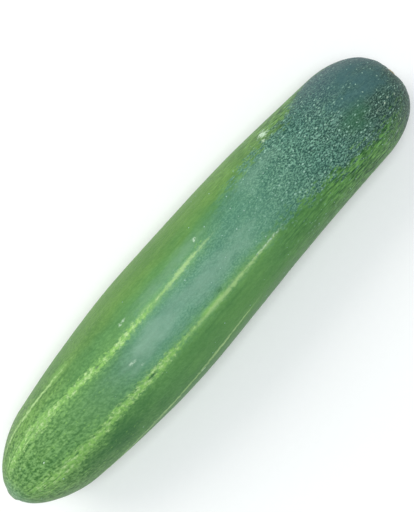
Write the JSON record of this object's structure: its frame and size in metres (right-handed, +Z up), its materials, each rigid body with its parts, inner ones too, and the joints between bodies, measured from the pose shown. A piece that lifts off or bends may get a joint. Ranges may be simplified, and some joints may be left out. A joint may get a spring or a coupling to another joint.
{
  "type": "cucumber",
  "caption": "Whole fresh cucumber with green striped skin, a blunt stem end and a tapering blossom end, lying on its side.",
  "frame": {"origin": "on the surface that the fruit lies on, under the middle of its length and width", "axes": "+X along the fruit towards the stem end, +Z up, away from the surface it lies on"},
  "size_m": [0.2096, 0.0482, 0.0473],
  "materials": {
    "cucumber_skin": "satin"
  },
  "bodies": {
    "root": {"cucumber": "cucumber_skin"}
  },
  "joints": []
}
